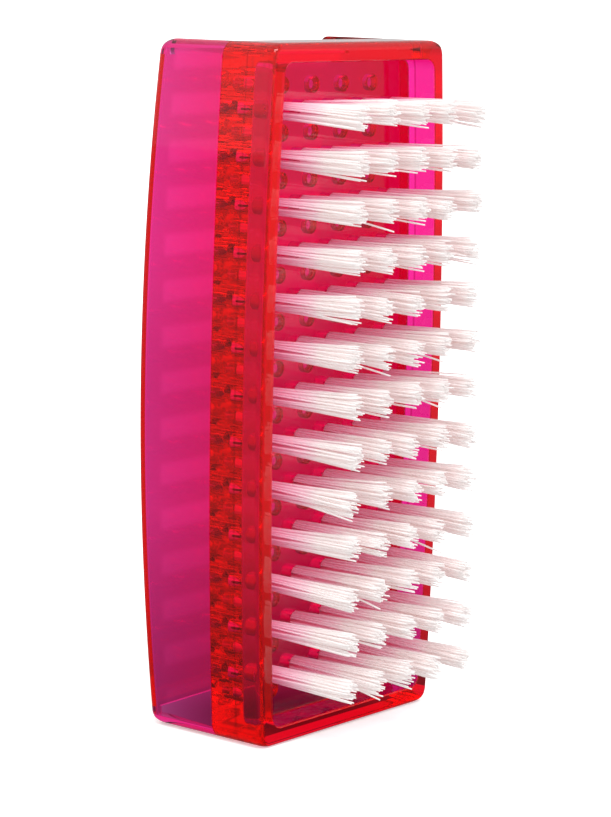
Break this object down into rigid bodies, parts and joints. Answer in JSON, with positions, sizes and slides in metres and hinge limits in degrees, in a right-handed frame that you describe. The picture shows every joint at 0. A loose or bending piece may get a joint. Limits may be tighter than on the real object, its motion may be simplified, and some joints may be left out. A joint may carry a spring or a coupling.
{
  "type": "nail brush",
  "caption": "Hand-held nail brush: acrylic front block with a deep rim around rows of white nylon tufts, glued to a bowed, open-ended cover.",
  "frame": {"origin": "middle of the bottom end face, under the centre of the bounding box, with the brush standing on its end", "axes": "+Z along the brush, -Y the way the bristles point, +Y towards the bowed back, X across the width"},
  "size_m": [0.0388, 0.0322, 0.092],
  "materials": {
    "acrylic_block": "polished translucent acrylic, magenta where thin and deep red where thick",
    "acrylic_cover": "the same translucent acrylic in a thin wall, hot magenta",
    "nylon_bristle": "fine white nylon filament with a satin sheen",
    "anchor_wire": "drawn flat wire, dull"
  },
  "bodies": {
    "root": {"front_block": "acrylic_block", "back_cover": "acrylic_cover", "tuft_row_01": "nylon_bristle", "tuft_row_02": "nylon_bristle", "tuft_row_03": "nylon_bristle", "tuft_row_04": "nylon_bristle", "tuft_row_05": "nylon_bristle", "tuft_row_06": "nylon_bristle", "tuft_row_07": "nylon_bristle", "tuft_row_08": "nylon_bristle", "tuft_row_09": "nylon_bristle", "tuft_row_10": "nylon_bristle", "tuft_row_11": "nylon_bristle", "tuft_row_12": "nylon_bristle", "tuft_row_13": "nylon_bristle", "anchor_row_01": "anchor_wire", "anchor_row_02": "anchor_wire", "anchor_row_03": "anchor_wire", "anchor_row_04": "anchor_wire", "anchor_row_05": "anchor_wire", "anchor_row_06": "anchor_wire", "anchor_row_07": "anchor_wire", "anchor_row_08": "anchor_wire", "anchor_row_09": "anchor_wire", "anchor_row_10": "anchor_wire", "anchor_row_11": "anchor_wire", "anchor_row_12": "anchor_wire", "anchor_row_13": "anchor_wire"}
  },
  "joints": []
}
